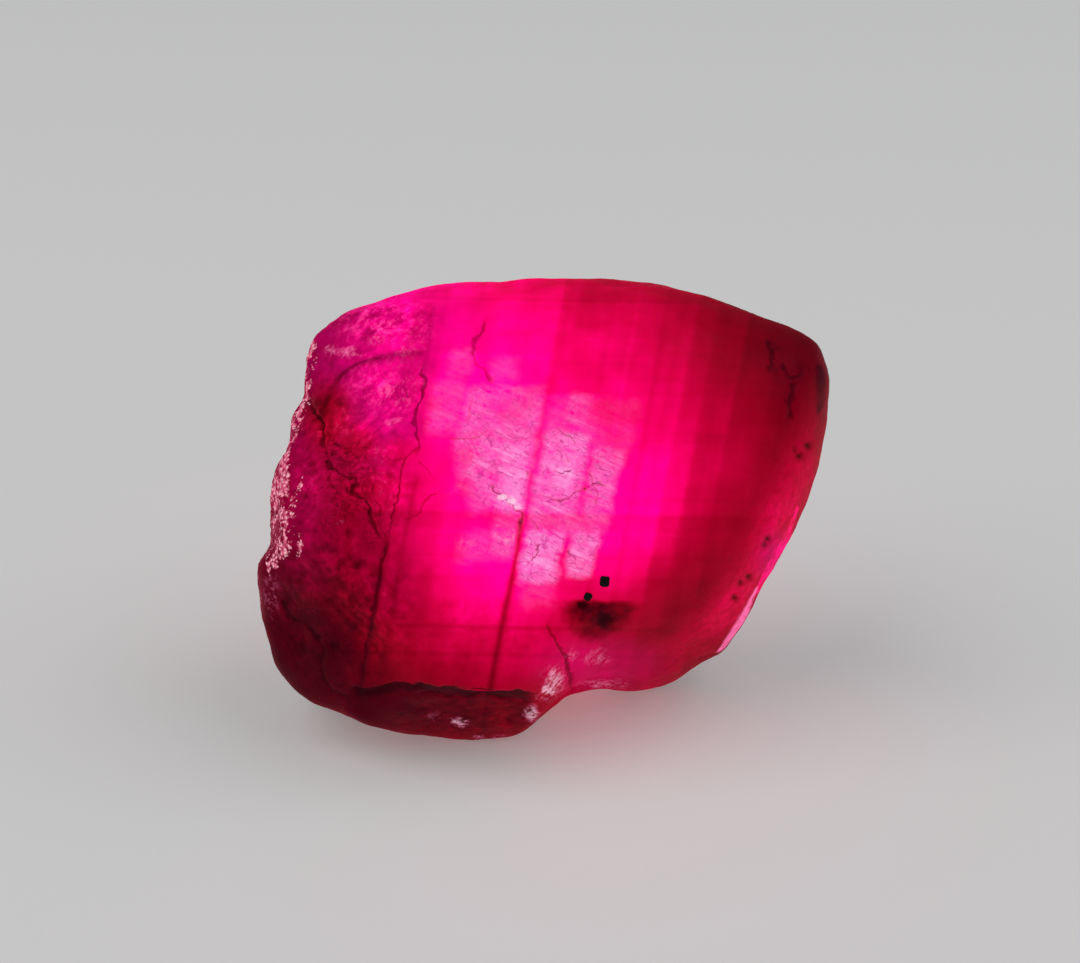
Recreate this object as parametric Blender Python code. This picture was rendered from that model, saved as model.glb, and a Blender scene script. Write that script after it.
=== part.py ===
"""Raw ruby crystal: one loose lump of rough corundum, resting on a small flat.

Water has rounded its top and right side.  Its left side and the foot of its broad face
are broken along the two sets of parting planes that cross every ruby nearly at right
angles, so those breaks are ledges and steps.  +X is the stone's width, -Y is the side
of the broad face, and +Z is up.

The surface is given as a distance from the stone's middle in each direction.  It starts
as a cushion whose outline and depth are below, and then facets, broken slabs and chips
each take something away.
"""

import math

import bmesh
import bpy
import numpy as np
from mathutils import Vector, noise

MM = 0.001

# Driving dimensions, in millimetres and degrees.
WIDTH = 38.2  # across the broad face, at its widest
FACE_LEAN = 22.5  # the broad face leans back by this much
CORE_HEIGHT = 14.0  # the middle of the stone, above the ground
FRONT_DEPTH = 10.4  # from the middle to the crown of the broad face
BACK_DEPTH = 11.6  # from the middle to the crown of the back
SPHERE_CUTS = 7  # icosphere subdivisions of the lump before it is thinned
MOST_TRIANGLES = 9400

# The outline of the broad face, seen square on, as (across, up the face) from the middle.
# It runs anticlockwise from the right side.
OUTLINE = [
    (18.4, 2.8),
    (19.1, 6.5),
    (19.2, 9.4),
    (18.6, 11.1),
    (17.2, 12.0),
    (14.0, 13.2),
    (9.5, 14.8),
    (5.7, 15.5),
    (1.5, 15.7),
    (-2.2, 15.6),
    (-5.6, 15.4),
    (-8.5, 15.0),
    (-11.3, 14.1),
    (-13.6, 13.1),
    (-15.6, 11.3),
    (-15.8, 9.6),
    (-16.0, 7.6),
    (-16.8, 6.0),
    (-17.1, 4.2),
    (-17.8, 2.6),
    (-18.4, 0.0),
    (-18.1, -2.2),
    (-19.0, -3.6),
    (-19.3, -5.3),
    (-18.9, -7.0),
    (-18.0, -8.7),
    (-17.6, -10.3),
    (-16.7, -11.6),
    (-14.9, -12.8),
    (-12.2, -13.8),
    (-9.7, -14.7),
    (-7.1, -15.2),
    (-4.6, -15.4),
    (-2.0, -15.2),
    (0.4, -13.5),
    (1.9, -12.5),
    (3.1, -12.3),
    (6.8, -12.5),
    (8.7, -12.1),
    (10.8, -10.7),
    (12.6, -9.8),
    (13.8, -7.8),
    (14.6, -5.5),
    (15.8, -3.3),
    (17.2, -0.6),
]

# Two things that vary round the outline, by the angle in degrees from the right.
# Fullness: 2 is a round edge between face and outline, and more is squarer.
FULLNESS = [(-140, 3.6), (-90, 3.2), (-20, 2.6), (40, 2.4), (90, 2.3), (140, 3.2), (180, 4.8)]
# Skew: how far behind the middle the stone is widest, as a share of its half width.
SKEW = [(-112, 0.0), (-88, 0.2), (-64, 0.55), (-38, 0.4), (-10, 0.12), (60, 0.1), (120, 0.16), (180, 0.0)]

# Normals and directions below are (across, up the face, out of the face).

# Broad facets: outward normal, distance from the middle, and the width over which the
# edge round the facet is worn.
FACETS = {
    "broad face": ((0.05, 0.02, 1.0), 9.7, 2.4),
    "upper left": ((-0.52, 0.46, 0.72), 14.0, 0.8),
    "lower left": ((-0.50, -0.42, 0.75), 15.1, 1.2),
    "right bevel": ((0.83, -0.45, 0.33), 15.1, 0.9),
    "right sliver": ((0.875, -0.48, 0.06), 15.5, 0.2),
    "back slope": ((0.10, 0.28, -0.95), 10.8, 1.6),
    "back left": ((-0.58, 0.05, -0.81), 13.2, 0.9),
    "back right": ((0.58, 0.28, -0.76), 15.2, 2.4),
    "back foot": ((0.15, -0.38, -0.91), 12.6, 1.0),
}

# The parting planes: unit steps across the near-upright set and up the near-level set,
# as (across, up the face).
ACROSS_PARTING = (0.984, -0.179)
UP_PARTING = (0.030, 1.0)

# Slabs broken away between two level parting planes: lowest and highest plane, the
# outward normal of the break, its distance from the middle, and where it ends across.
SLABS = {
    "foot of the face": ((-16.0, -11.75), (0.04, -0.878, 0.478), 13.6, (-10.9, 2.0)),
    "left top": ((6.6, 12.0), (-0.97, 0.18, 0.20), 17.4, (-30.0, 0.0)),
    "left upper": ((3.3, 6.6), (-0.98, 0.10, 0.10), 17.3, (-30.0, 0.0)),
    "left middle": ((-3.0, 3.3), (-0.97, 0.02, 0.22), 17.9, (-30.0, 0.0)),
    "left lower": ((-9.0, -3.0), (-0.98, -0.12, 0.14), 19.2, (-30.0, 0.0)),
    "back terrace": ((-7.5, -1.5), (0.00, 0.02, -1.0), 10.4, (-7.0, 6.5)),
    "back shelf": ((4.0, 30.0), (0.08, 0.42, -0.90), 11.4, (-30.0, 7.0)),
}
LEDGE_WEAR = 0.45  # the width over which the lip of a broken slab is worn
BREAK_RIPPLE = 0.12  # how uneven the break itself is
LEDGE_WANDER = 0.25  # how far the lip wanders from its parting plane

# Chips with a hollow, shell-like floor: direction of the chip from the middle, its
# depth, and the radius of its floor.
CHIPS = {
    "notch": ((2.0, -11.8, 0.0), 0.8, 3.0),
    "notch flank": ((3.9, -11.0, 0.5), 0.4, 6.0),
    "face scallop": ((-10.9, 7.2, 8.0), 0.35, 22.0),
    "left bite": ((-16.0, 6.8, 4.0), 0.45, 5.0),
    "left scoop": ((-17.3, 1.2, 4.0), 0.4, 7.0),
    "heel chip": ((-17.0, -7.0, 5.5), 0.4, 9.0),
    "shoulder chip": ((-12.0, 8.0, -7.0), 0.6, 12.0),
    "back shell": ((5.5, 3.0, -11.0), 0.7, 16.0),
    "back chip": ((-8.0, -7.0, -9.0), 0.6, 9.0),
    "right chip": ((16.0, 4.0, -8.5), 0.45, 10.0),
    "corner chip": ((12.0, -5.0, -10.0), 0.6, 8.0),
}
RIM_WEAR = 0.25  # the width over which the rim of a chip is worn
FLOOR_RIPPLE = 0.2  # how far the floor of a chip departs from a ball
PATCH = 1.5  # how far round a chip's middle the surface decides which way the chip faces

# Wear that leaves the surface slightly lumpy: size of the lumps and their height.
LUMPS = [(9.0, 0.45), (3.6, 0.16)]
OBJECT_NAME = "Raw ruby crystal"

LEAN = math.radians(FACE_LEAN)
ACROSS = np.array([1.0, 0.0, 0.0])
UP_FACE = np.array([0.0, math.sin(LEAN), math.cos(LEAN)])
OUT_OF_FACE = np.array([0.0, -math.cos(LEAN), math.sin(LEAN)])


def unit(across, up, out):
    """The direction with these parts across, up and out of the broad face."""
    vector = across * ACROSS + up * UP_FACE + out * OUT_OF_FACE
    return vector / np.linalg.norm(vector)


def smooth_curve(x, y, at):
    """The smooth curve through the points (x, y), which never overshoots them."""
    gap = np.diff(x)
    slope = np.diff(y) / gap
    same_way = slope[:-1] * slope[1:] > 0
    mean = 2 * slope[:-1] * slope[1:] / np.where(same_way, slope[:-1] + slope[1:], 1.0)
    tangent = np.concatenate([slope[:1], np.where(same_way, mean, 0.0), slope[-1:]])
    i = np.clip(np.searchsorted(x, at) - 1, 0, len(gap) - 1)
    t = (at - x[i]) / gap[i]
    rise = t * t * (3 - 2 * t)
    leave = t * (1 - t) ** 2 * gap[i] * tangent[i]
    arrive = -t * t * (1 - t) * gap[i] * tangent[i + 1]
    return y[i] + (y[i + 1] - y[i]) * rise + leave + arrive


def round_the_outline(degrees, values, turn):
    """Values given at some angles, read at the angles in turn, all the way round."""
    degrees = np.concatenate([np.subtract(degrees, 360), degrees, np.add(degrees, 360)])
    return smooth_curve(degrees, np.tile(values, 3), np.degrees(turn))


def outline_radius(turn):
    points = np.array(OUTLINE) * WIDTH / np.ptp(np.array(OUTLINE)[:, 0])
    degrees = np.degrees(np.arctan2(points[:, 1], points[:, 0]))
    order = np.argsort(degrees)
    return round_the_outline(degrees[order], np.hypot(*points[order].T), turn)


def lesser(first, second, worn):
    """The lesser of two radii, with the edge between them worn over this width."""
    overlap = np.clip(1 - np.abs(first - second) / worn, 0, 1)
    return np.minimum(first, second) - overlap**2 * worn / 4


def cushion(directions):
    across = directions @ ACROSS
    up = directions @ UP_FACE
    out = directions @ OUT_OF_FACE
    turn = np.arctan2(up, across)
    fullness = round_the_outline(*zip(*FULLNESS), turn)
    skew = round_the_outline(*zip(*SKEW), turn)
    in_plane = np.hypot(across, up)
    out = out + skew * in_plane**3
    depth = np.where(out > 0, FRONT_DEPTH, BACK_DEPTH)
    shares = (in_plane / outline_radius(turn)) ** fullness + (np.abs(out) / depth) ** fullness
    return shares ** (-1 / fullness)


def take_facet(radius, directions, normal, distance, worn):
    towards = np.maximum(directions @ unit(*normal), 0.05)
    return lesser(radius, distance / towards, worn)


def window(values, low, high, worn):
    """1 between low and high, falling smoothly to 0 over the worn width outside them."""
    outside = np.maximum(low - values, values - high) / worn
    share = np.clip(1 - outside, 0, 1)
    return share * share * (3 - 2 * share)


def take_slab(radius, directions, levels, normal, distance, ends):
    """Breaks the stone back to a plane, between two level parting planes."""
    across = radius * (directions @ ACROSS)
    up = radius * (directions @ UP_FACE)
    level = UP_PARTING[0] * across + UP_PARTING[1] * up
    level += LEDGE_WANDER * ripple(directions * radius[:, None], 2.2)
    side = ACROSS_PARTING[0] * across + ACROSS_PARTING[1] * up
    inside = window(level, *levels, LEDGE_WEAR) * window(side, *ends, 3 * LEDGE_WEAR)
    broken = take_facet(radius, directions, normal, distance, LEDGE_WEAR)
    broken -= BREAK_RIPPLE * (1 + ripple(directions * radius[:, None], 1.6))
    return radius + (broken - radius) * inside


def take_chip(radius, directions, towards, depth, floor):
    """Takes a ball out of the surface, which leaves a hollow with a sharp rim."""
    points = directions * radius[:, None]
    here = points[np.argmax(directions @ unit(*towards))]
    patch = points[np.linalg.norm(points - here, axis=1) < PATCH]
    normal = np.linalg.svd(patch - patch.mean(axis=0))[2][2]
    normal *= np.sign(normal @ here)
    middle = here + normal * (floor - depth)
    along = directions @ middle
    reach = along**2 - middle @ middle + floor**2
    near_side = along - np.sqrt(np.maximum(reach, 0)) + FLOOR_RIPPLE * ripple(points, 1.8)
    return np.where((reach > 0) & (along > 0), lesser(radius, near_side, RIM_WEAR), radius)


def ripple(points, size):
    """Smooth noise between -1 and 1, with lumps of this size."""
    return np.array([noise.noise(Vector(point / size)) for point in points])


def lumps(directions, radius):
    """Low bumps and hollows, which die away towards the outline."""
    points = directions * radius[:, None]
    height = sum(most * ripple(points, size) for size, most in LUMPS)
    return height * np.clip(np.abs(directions @ OUT_OF_FACE) * 3, 0, 1)


def surface_radius(directions):
    radius = cushion(directions)
    for facet in FACETS.values():
        radius = take_facet(radius, directions, *facet)
    radius = radius + lumps(directions, radius)
    for slab in SLABS.values():
        radius = take_slab(radius, directions, *slab)
    for chip in CHIPS.values():
        radius = take_chip(radius, directions, *chip)
    return radius


def make_lump():
    mesh = bpy.data.meshes.new("ruby_crystal")
    shape = bmesh.new()
    bmesh.ops.create_icosphere(shape, subdivisions=SPHERE_CUTS, radius=1)
    directions = np.array([tuple(vertex.co) for vertex in shape.verts])
    directions /= np.linalg.norm(directions, axis=1, keepdims=True)
    middle = Vector((0, 0, CORE_HEIGHT))
    for vertex, direction, length in zip(shape.verts, directions, surface_radius(directions)):
        vertex.co = (middle + Vector(direction * length)) * MM
    shape.to_mesh(mesh)
    shape.free()
    return mesh


def flatten_base(mesh):
    """Cuts the mesh off level with the ground, and closes the cut."""
    shape = bmesh.new()
    shape.from_mesh(mesh)
    everything = shape.verts[:] + shape.edges[:] + shape.faces[:]
    bmesh.ops.bisect_plane(shape, geom=everything, dist=1e-7, plane_no=(0, 0, -1), clear_outer=True)
    rim = [edge for edge in shape.edges if edge.is_boundary]
    base = bmesh.ops.contextual_create(shape, geom=rim)["faces"]
    bmesh.ops.triangulate(shape, faces=base)
    bmesh.ops.recalc_face_normals(shape, faces=shape.faces[:])
    shape.to_mesh(mesh)
    shape.free()


def thinned(obj):
    """The object's mesh with few enough triangles, and its base exactly level."""
    modifier = obj.modifiers.new("Thin", "DECIMATE")
    modifier.ratio = MOST_TRIANGLES / len(obj.data.polygons)
    bpy.context.view_layer.update()
    evaluated = obj.evaluated_get(bpy.context.evaluated_depsgraph_get())
    mesh = bpy.data.meshes.new_from_object(evaluated)
    obj.modifiers.remove(modifier)
    for vertex in mesh.vertices:
        if vertex.co.z < 0.01 * MM:
            vertex.co.z = 0
    return mesh


def centre_on_base(mesh):
    """Moves the mesh so that the middle of its box, at the ground, is the origin."""
    points = np.array([tuple(vertex.co) for vertex in mesh.vertices])
    low, high = points.min(axis=0), points.max(axis=0)
    shift = Vector((-(low[0] + high[0]) / 2, -(low[1] + high[1]) / 2, -low[2]))
    for vertex in mesh.vertices:
        vertex.co += shift


def ruby_material():
    material = bpy.data.materials.new("ruby")
    material.use_nodes = True
    shader = material.node_tree.nodes["Principled BSDF"]
    shader.inputs["Base Color"].default_value = (0.62, 0.008, 0.11, 1)
    shader.inputs["Roughness"].default_value = 0.3
    shader.inputs["Metallic"].default_value = 0.0
    shader.inputs["IOR"].default_value = 1.77
    shader.inputs["Transmission Weight"].default_value = 0.5
    return material


def main():
    for obj in list(bpy.data.objects):
        bpy.data.objects.remove(obj, do_unlink=True)
    collection = bpy.data.collections.new(OBJECT_NAME)
    bpy.context.scene.collection.children.link(collection)
    stone = bpy.data.objects.new("ruby_crystal", make_lump())
    collection.objects.link(stone)
    flatten_base(stone.data)
    stone.data = thinned(stone)
    centre_on_base(stone.data)
    stone.data.materials.append(ruby_material())


main()
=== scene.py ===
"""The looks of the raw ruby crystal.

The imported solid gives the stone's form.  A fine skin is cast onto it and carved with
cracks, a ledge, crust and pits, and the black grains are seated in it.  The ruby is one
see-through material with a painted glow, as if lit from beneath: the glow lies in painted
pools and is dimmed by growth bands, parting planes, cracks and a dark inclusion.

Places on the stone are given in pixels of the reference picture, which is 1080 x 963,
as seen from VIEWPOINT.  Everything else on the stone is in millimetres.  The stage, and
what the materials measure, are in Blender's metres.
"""

import math

import bmesh
import bpy
import numpy as np
from mathutils import Matrix, Vector, noise
from mathutils.bvhtree import BVHTree

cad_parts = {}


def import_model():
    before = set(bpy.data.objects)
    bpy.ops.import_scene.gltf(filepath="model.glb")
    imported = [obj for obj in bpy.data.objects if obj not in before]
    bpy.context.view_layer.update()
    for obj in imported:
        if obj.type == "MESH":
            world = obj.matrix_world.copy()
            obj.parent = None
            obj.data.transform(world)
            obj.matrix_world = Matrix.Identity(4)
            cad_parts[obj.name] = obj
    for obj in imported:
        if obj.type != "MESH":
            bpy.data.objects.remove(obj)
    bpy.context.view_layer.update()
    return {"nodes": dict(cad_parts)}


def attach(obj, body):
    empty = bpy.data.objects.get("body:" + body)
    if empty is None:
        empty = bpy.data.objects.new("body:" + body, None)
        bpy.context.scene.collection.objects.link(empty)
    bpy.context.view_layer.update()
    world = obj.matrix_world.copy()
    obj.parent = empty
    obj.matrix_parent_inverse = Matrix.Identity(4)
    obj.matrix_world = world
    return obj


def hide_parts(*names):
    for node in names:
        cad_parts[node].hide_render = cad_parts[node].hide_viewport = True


MM = 0.001  # in metres

# The reference picture and where it was taken from.
PICTURE = (1080, 963)
LENS = 75.0
SENSOR = 36.0
FOCAL_PX = LENS / SENSOR * PICTURE[0]
TILT = math.radians(22.5)  # how far the camera looks down, and the broad face leans back
VIEWPOINT = np.array([-0.25, -136.31, 72.65])
MIDDLE = np.array([-0.05, 0.39, 14.0])  # the middle of the stone
PX_PER_MM = 15.6  # on the broad face

RIGHT = np.array([1.0, 0.0, 0.0])
AHEAD = np.array([0.0, math.cos(TILT), -math.sin(TILT)])
UP = np.array([0.0, math.sin(TILT), math.cos(TILT)])

# The skin.
SKIN_CUTS = 92  # grid squares along each side of the cube that the skin starts as
TOWARDS_FACE = 0.22  # how far the grid leans towards the broad face, where it comes out finer
FIRST_SMOOTHING = 4  # rounds that take out the solid's flat triangles
LAST_SMOOTHING = 2  # rounds after the squares near cracks are halved
FINE_WITHIN = 0.45  # the skin is twice as fine this close to a crack
NEAR_HALF = 3  # what lies less than this beyond the middle is on the near side
GROUNDED = 0.02  # what starts lower than this belongs to the flat base
BASE_FADE = 0.6  # the carving fades out below this height

# How deep the relief is.
SWELL = 0.05
LUMPS = (0.018, 0.03)  # everywhere, and how much more on the rough parts
GRAIN = (0.008, 0.02)  # the same for the finest grain
PIT_DEPTH = 0.12
LEDGE_DEPTH = 0.28
CRUST_GRANULES = 0.22
CRUST_LUMPS = 0.12
FRACTURE_GRANULES = 0.07
CRACK_LIP = 0.05  # how far a groove spreads beyond the dark of its crack
BESIDE_REACH = 0.8  # gaps to cracks are stored up to this

# How far what is drawn on the stone strays from its place, in pixels.
LINE_WANDER = 2.4
SMUDGE_WANDER = 2.5
FROST_WANDER = 4.5
FAR_WANDER = 9

# Growth bands and parting planes are straight lines in the picture.  s is measured across
# the near-upright ones and t down the near-level ones, both in pixels.
UPRIGHT_SLOPE = 0.19
UPRIGHT_ORIGIN = 400
LEVEL_SLOPE = 0.02
LEVEL_ORIGIN = 543

# The share of light that the stone lets by at each s, and at each t.
UPRIGHT_BANDS = [(240, 0.90), (328, 0.90), (332, 0.96), (392, 0.98), (395, 1.0), (430, 1.0), (433, 1.04),
                 (478, 1.04), (482, 1.0), (541, 1.0), (545, 0.88), (551, 0.97), (588, 0.97), (593, 0.92),
                 (620, 0.91), (624, 0.85), (646, 0.84), (651, 0.76), (678, 0.75), (683, 0.66),
                 (699, 0.65), (704, 0.56), (731, 0.55), (736, 0.46), (764, 0.45), (770, 0.40),
                 (860, 0.38)]
LEVEL_BANDS = [(270, 0.95), (297, 0.95), (300, 0.88), (303, 1.0), (389, 1.0), (392, 0.97), (395, 1.0),
               (436, 1.0), (439, 0.95), (442, 1.0), (512, 1.0), (515, 0.86), (528, 0.91), (533, 1.0),
               (554, 1.0), (557, 0.91), (560, 1.0), (575, 1.0), (579, 0.93), (584, 0.97), (625, 0.95),
               (628, 0.80), (633, 0.92), (652, 0.92), (656, 0.82), (660, 0.92), (740, 0.90)]
LOWEST_S, HIGHEST_S = 240, 860
LOWEST_T, HIGHEST_T = 270, 740

# Painted pools of light in the stone's glow: centre, half width, half height, strength.  A
# negative one is a painted shadow, and the painted corner shade takes a share of all the light.
DIM_LIGHT = 0.20
POOLS = [(510, 405, 150, 150, 0.62), (500, 565, 85, 80, 0.46), (490, 590, 60, 45, 0.18),
         (600, 500, 120, 110, 0.30), (643, 530, 52, 70, 0.32), (560, 320, 200, 60, 0.18),
         (712, 462, 95, 85, 0.56), (395, 390, 80, 110, 0.16), (310, 500, 35, 50, 0.14),
         (590, 665, 110, 40, 0.34), (415, 640, 60, 45, 0.15), (780, 410, 60, 70, 0.08),
         (800, 345, 45, 45, 0.07), (503, 722, 20, 13, 0.13), (334, 404, 20, 18, -0.13),
         (404, 450, 18, 12, -0.08), (714, 520, 46, 100, 0.15), (410, 298, 70, 30, 0.20),
         (690, 340, 90, 60, 0.09), (625, 578, 30, 30, 0.14), (355, 500, 35, 30, 0.08)]
CORNER_SHADE = [(308, 668, 90, 85, 0.60)]
RIM_LIGHT = 0.05  # painted light that the glow gains where the stone turns away from the viewpoint
FAR_DIMMING = 0.24  # how much dimmer the painted glow is on the far side

# Blocks of the stone that let more or less light by: their s, their t, the share, and the
# width of their edge.
PANES = [((395, 431), (290, 440), 0.80, 12), ((431, 478), (300, 355), 0.82, 14),
         ((547, 600), (270, 393), 0.88, 5), ((600, 682), (505, 600), 1.10, 4),
         ((651, 683), (300, 420), 1.06, 4), ((335, 392), (460, 556), 0.92, 8),
         ((433, 470), (560, 628), 0.93, 8), ((560, 592), (270, 330), 0.94, 8),
         ((705, 735), (430, 556), 0.92, 4)]

# Frosted blocks in the same way, with how frosted each is, and thin veils on the far side.
FROST = [((464, 541), (389, 512), 0.22, 14), ((480, 541), (428, 512), 0.34, 18),
         ((508, 541), (440, 512), 0.52, 18), ((514, 541), (466, 512), 0.70, 16),
         ((505, 541), (395, 440), 0.30, 16), ((551, 600), (400, 440), 0.10, 12),
         ((568, 592), (396, 424), 0.18, 12), ((552, 598), (430, 516), 0.42, 11),
         ((560, 592), (446, 504), 0.58, 18), ((566, 588), (462, 494), 0.74, 16),
         ((597, 640), (400, 450), 0.05, 14), ((604, 633), (446, 520), 0.36, 9),
         ((552, 628), (506, 536), 0.18, 12), ((552, 591), (530, 582), 0.50, 8),
         ((558, 588), (538, 568), 0.66, 12), ((599, 626), (531, 578), 0.48, 8),
         ((518, 541), (516, 558), 0.16, 14), ((488, 518), (534, 560), 0.06, 16),
         ((442, 463), (352, 380), 0.10, 14), ((432, 462), (386, 436), 0.11, 14),
         ((486, 512), (358, 382), 0.06, 14), ((560, 590), (580, 608), 0.08, 14)]
FAR_FROST = [((462, 534), (366, 446), 0.16, 22), ((486, 534), (394, 440), 0.24, 22),
             ((540, 606), (396, 476), 0.14, 22), ((556, 596), (420, 466), 0.22, 20),
             ((500, 534), (458, 520), 0.18, 18), ((560, 618), (486, 556), 0.12, 20)]

# Where the frost thins out: centre, half size, share.
THAWED = [(446, 478, 20, 40, 1.0), (454, 506, 34, 32, 1.0), (474, 516, 22, 14, 0.80),
          (500, 400, 20, 14, 0.40), (596, 512, 30, 16, 0.25), (470, 396, 16, 14, 0.30),
          (556, 404, 14, 18, 0.60), (545, 600, 18, 16, 0.50), (440, 440, 18, 12, 0.60)]

# Cracks.  Those that cross or run close together are in different sets.  Each has the
# points along it, its half width and depth in mm, and how dark it is.
CRACKS = [
    [
        ([(306, 391), (309, 405), (315, 415), (323, 421), (321, 432), (324, 447), (327, 461), (333, 468),
          (343, 474), (355, 480), (352, 492), (365, 500), (372, 520), (378, 535),
          (385, 545)], 0.13, 0.20, 1.0),
        ([(424, 362), (421, 372), (425, 380), (423, 393), (418, 405), (414, 422), (417, 434), (420, 446),
          (416, 456)], 0.11, 0.10, 0.72),
        ([(487, 318), (485, 324), (483, 330), (479, 336), (475, 340), (473, 352), (475, 363), (484, 370),
          (488, 378), (497, 384)], 0.10, 0.06, 0.5),
        ([(498, 488), (505, 498), (511, 507), (518, 511), (521, 517), (519, 530)], 0.07, 0.08, 0.7),
        ([(548, 622), (551, 634), (557, 645), (564, 655), (569, 668), (571, 680),
          (572, 692)], 0.10, 0.12, 0.65),
        ([(288, 592), (286, 606), (288, 616), (303, 622), (312, 630), (317, 639), (323, 650), (322, 665),
          (323, 680), (332, 691), (347, 696), (351, 709)], 0.14, 0.06, 1.0),
        ([(768, 338), (771, 350), (770, 362), (772, 373)], 0.17, 0.08, 0.85),
        ([(796, 380), (792, 392), (790, 400), (791, 410), (789, 419)], 0.18, 0.10, 0.85),
        ([(538, 492), (549, 498), (560, 501), (568, 499), (574, 492), (585, 489), (598, 483),
          (611, 488)], 0.055, 0.05, 0.8),
        ([(450, 438), (462, 440), (475, 438), (482, 434), (488, 432)], 0.045, 0.04, 0.4),
    ],
    [
        ([(332, 389), (337, 379), (346, 371), (358, 364), (372, 359), (385, 354)], 0.06, 0.05, 0.4),
        ([(421, 440), (416, 450), (407, 455), (402, 468), (400, 480), (395, 510),
          (388, 540)], 0.07, 0.10, 0.6),
        ([(389, 534), (387, 545), (383, 560), (380, 575), (376, 600), (367, 640),
          (360, 690)], 0.10, 0.08, 0.55),
        ([(332, 442), (340, 447), (349, 449), (356, 456), (362, 452), (368, 462)], 0.08, 0.10, 0.6),
        ([(331, 470), (329, 482), (338, 490), (336, 503), (346, 512), (343, 526)], 0.08, 0.10, 0.6),
        ([(490, 487), (497, 491), (504, 497), (507, 503)], 0.06, 0.06, 0.9),
        ([(536, 543), (537, 552), (529, 561)], 0.06, 0.05, 0.8),
        ([(568, 551), (572, 556), (577, 561)], 0.06, 0.05, 0.8),
        ([(557, 470), (563, 473), (567, 472), (570, 468)], 0.06, 0.05, 0.8),
        ([(780, 363), (787, 370), (792, 378), (800, 375), (803, 370)], 0.12, 0.08, 0.8),
        ([(436, 490), (427, 499), (421, 512), (404, 520)], 0.06, 0.06, 0.4),
    ],
    [
        ([(355, 480), (366, 477), (374, 486), (371, 498), (381, 507), (379, 520)], 0.07, 0.10, 0.55),
        ([(322, 498), (338, 502), (351, 499), (363, 510), (377, 512)], 0.06, 0.08, 0.5),
        ([(404, 457), (395, 462), (388, 459), (379, 466)], 0.05, 0.06, 0.45),
        ([(418, 462), (428, 470), (434, 480)], 0.05, 0.06, 0.45),
        ([(381, 375), (392, 384), (401, 386), (407, 396), (414, 399)], 0.05, 0.05, 0.4),
        ([(520, 515), (531, 520), (540, 531)], 0.05, 0.05, 0.5),
        ([(474, 384), (471, 404), (467, 424)], 0.06, 0.02, 0.22),
        ([(590, 470), (592, 482), (598, 494), (594, 506)], 0.045, 0.03, 0.55),
        ([(556, 425), (562, 433), (571, 436), (577, 443)], 0.045, 0.03, 0.6),
        ([(412, 700), (430, 697), (452, 701), (480, 698), (512, 703), (536, 704)], 0.08, 0.12, 0.7),
    ],
]

# The same on the far side, as if seen through the stone.
FAR_CRACKS = [
    ([(470, 330), (480, 372), (462, 410), (478, 450), (470, 500), (450, 540), (455, 600)], 0.12, 0.18, 0.8),
    ([(478, 450), (500, 464), (521, 461), (538, 478), (546, 497)], 0.08, 0.10, 0.55),
    ([(618, 372), (634, 398), (630, 430), (646, 462), (644, 500)], 0.10, 0.15, 0.6),
    ([(330, 440), (360, 470), (350, 510), (372, 560), (362, 610)], 0.12, 0.18, 0.8),
    ([(740, 360), (750, 400), (736, 440), (742, 500)], 0.10, 0.12, 0.6),
]

# Soft straight seams: the points along each, and how much light it takes.
SEAMS = [([(521, 514), (518, 545), (512, 580), (505, 610), (497, 650), (490, 690)], 0.42),
         ([(434, 305), (431, 320), (428, 350), (424, 372)], 0.15),
         ([(418, 470), (404, 540), (394, 600), (378, 690)], 0.16),
         ([(388, 530), (378, 590), (360, 690)], 0.34),
         ([(319, 424), (324, 405), (332, 389), (338, 377), (350, 368), (372, 360), (396, 354),
           (421, 353)], 0.34)]
SEAM_WIDTH = 3.4

# Small pits: place and half width.
PITS = [(808, 446, 3.5), (800, 456, 3.5), (795, 449, 2.0), (768, 539, 3.0), (765, 545, 2.5),
        (749, 577, 3.0), (741, 583, 2.5), (735, 598, 3.0), (303, 649, 4.0), (334, 646, 5.0),
        (318, 637, 3.0), (357, 566, 3.0), (527, 474, 1.5), (568, 461, 1.5), (600, 482, 1.2),
        (585, 489, 1.2), (560, 501, 1.3)]

# The jagged ledge at the foot of the face.
LEDGE = [(345, 690), (358, 688), (372, 688), (388, 685), (402, 681), (412, 684), (420, 682), (436, 687),
         (455, 687), (470, 690), (484, 688), (499, 691), (515, 690), (531, 693), (543, 694)]

# Whitish fractures round the notch and along the foot: centre, half size, strength.
FRACTURES = [(554, 680, 14, 17, 0.55), (548, 690, 8, 9, 0.70), (571, 656, 8, 9, 0.34),
             (597, 657, 18, 11, 0.32), (604, 684, 30, 6, 0.34), (532, 715, 11, 9, 0.60),
             (543, 699, 10, 5, 0.40), (459, 723, 11, 5, 0.55), (434, 718, 7, 4, 0.20),
             (478, 737, 8, 3, 0.35), (500, 738, 12, 3, 0.30), (502, 496, 7, 4, 0.9),
             (511, 500, 7, 6, 0.9), (516, 506, 6, 6, 0.8), (349, 352, 19, 7, 0.40),
             (331, 350, 9, 7, 0.40), (375, 338, 14, 8, 0.30), (402, 352, 12, 6, 0.25),
             (388, 391, 13, 10, 0.36), (402, 402, 10, 8, 0.34), (338, 520, 5, 4, 0.30),
             (393, 422, 12, 5, 0.32), (372, 322, 52, 26, 0.13), (412, 330, 24, 36, 0.11),
             (385, 385, 42, 34, 0.13), (271, 592, 10, 26, 0.22), (507, 542, 5, 14, 0.45),
             (498, 531, 5, 12, 0.38), (513, 534, 3, 14, 0.40), (467, 544, 13, 8, 0.28),
             (487, 551, 10, 6, 0.24)]

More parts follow.
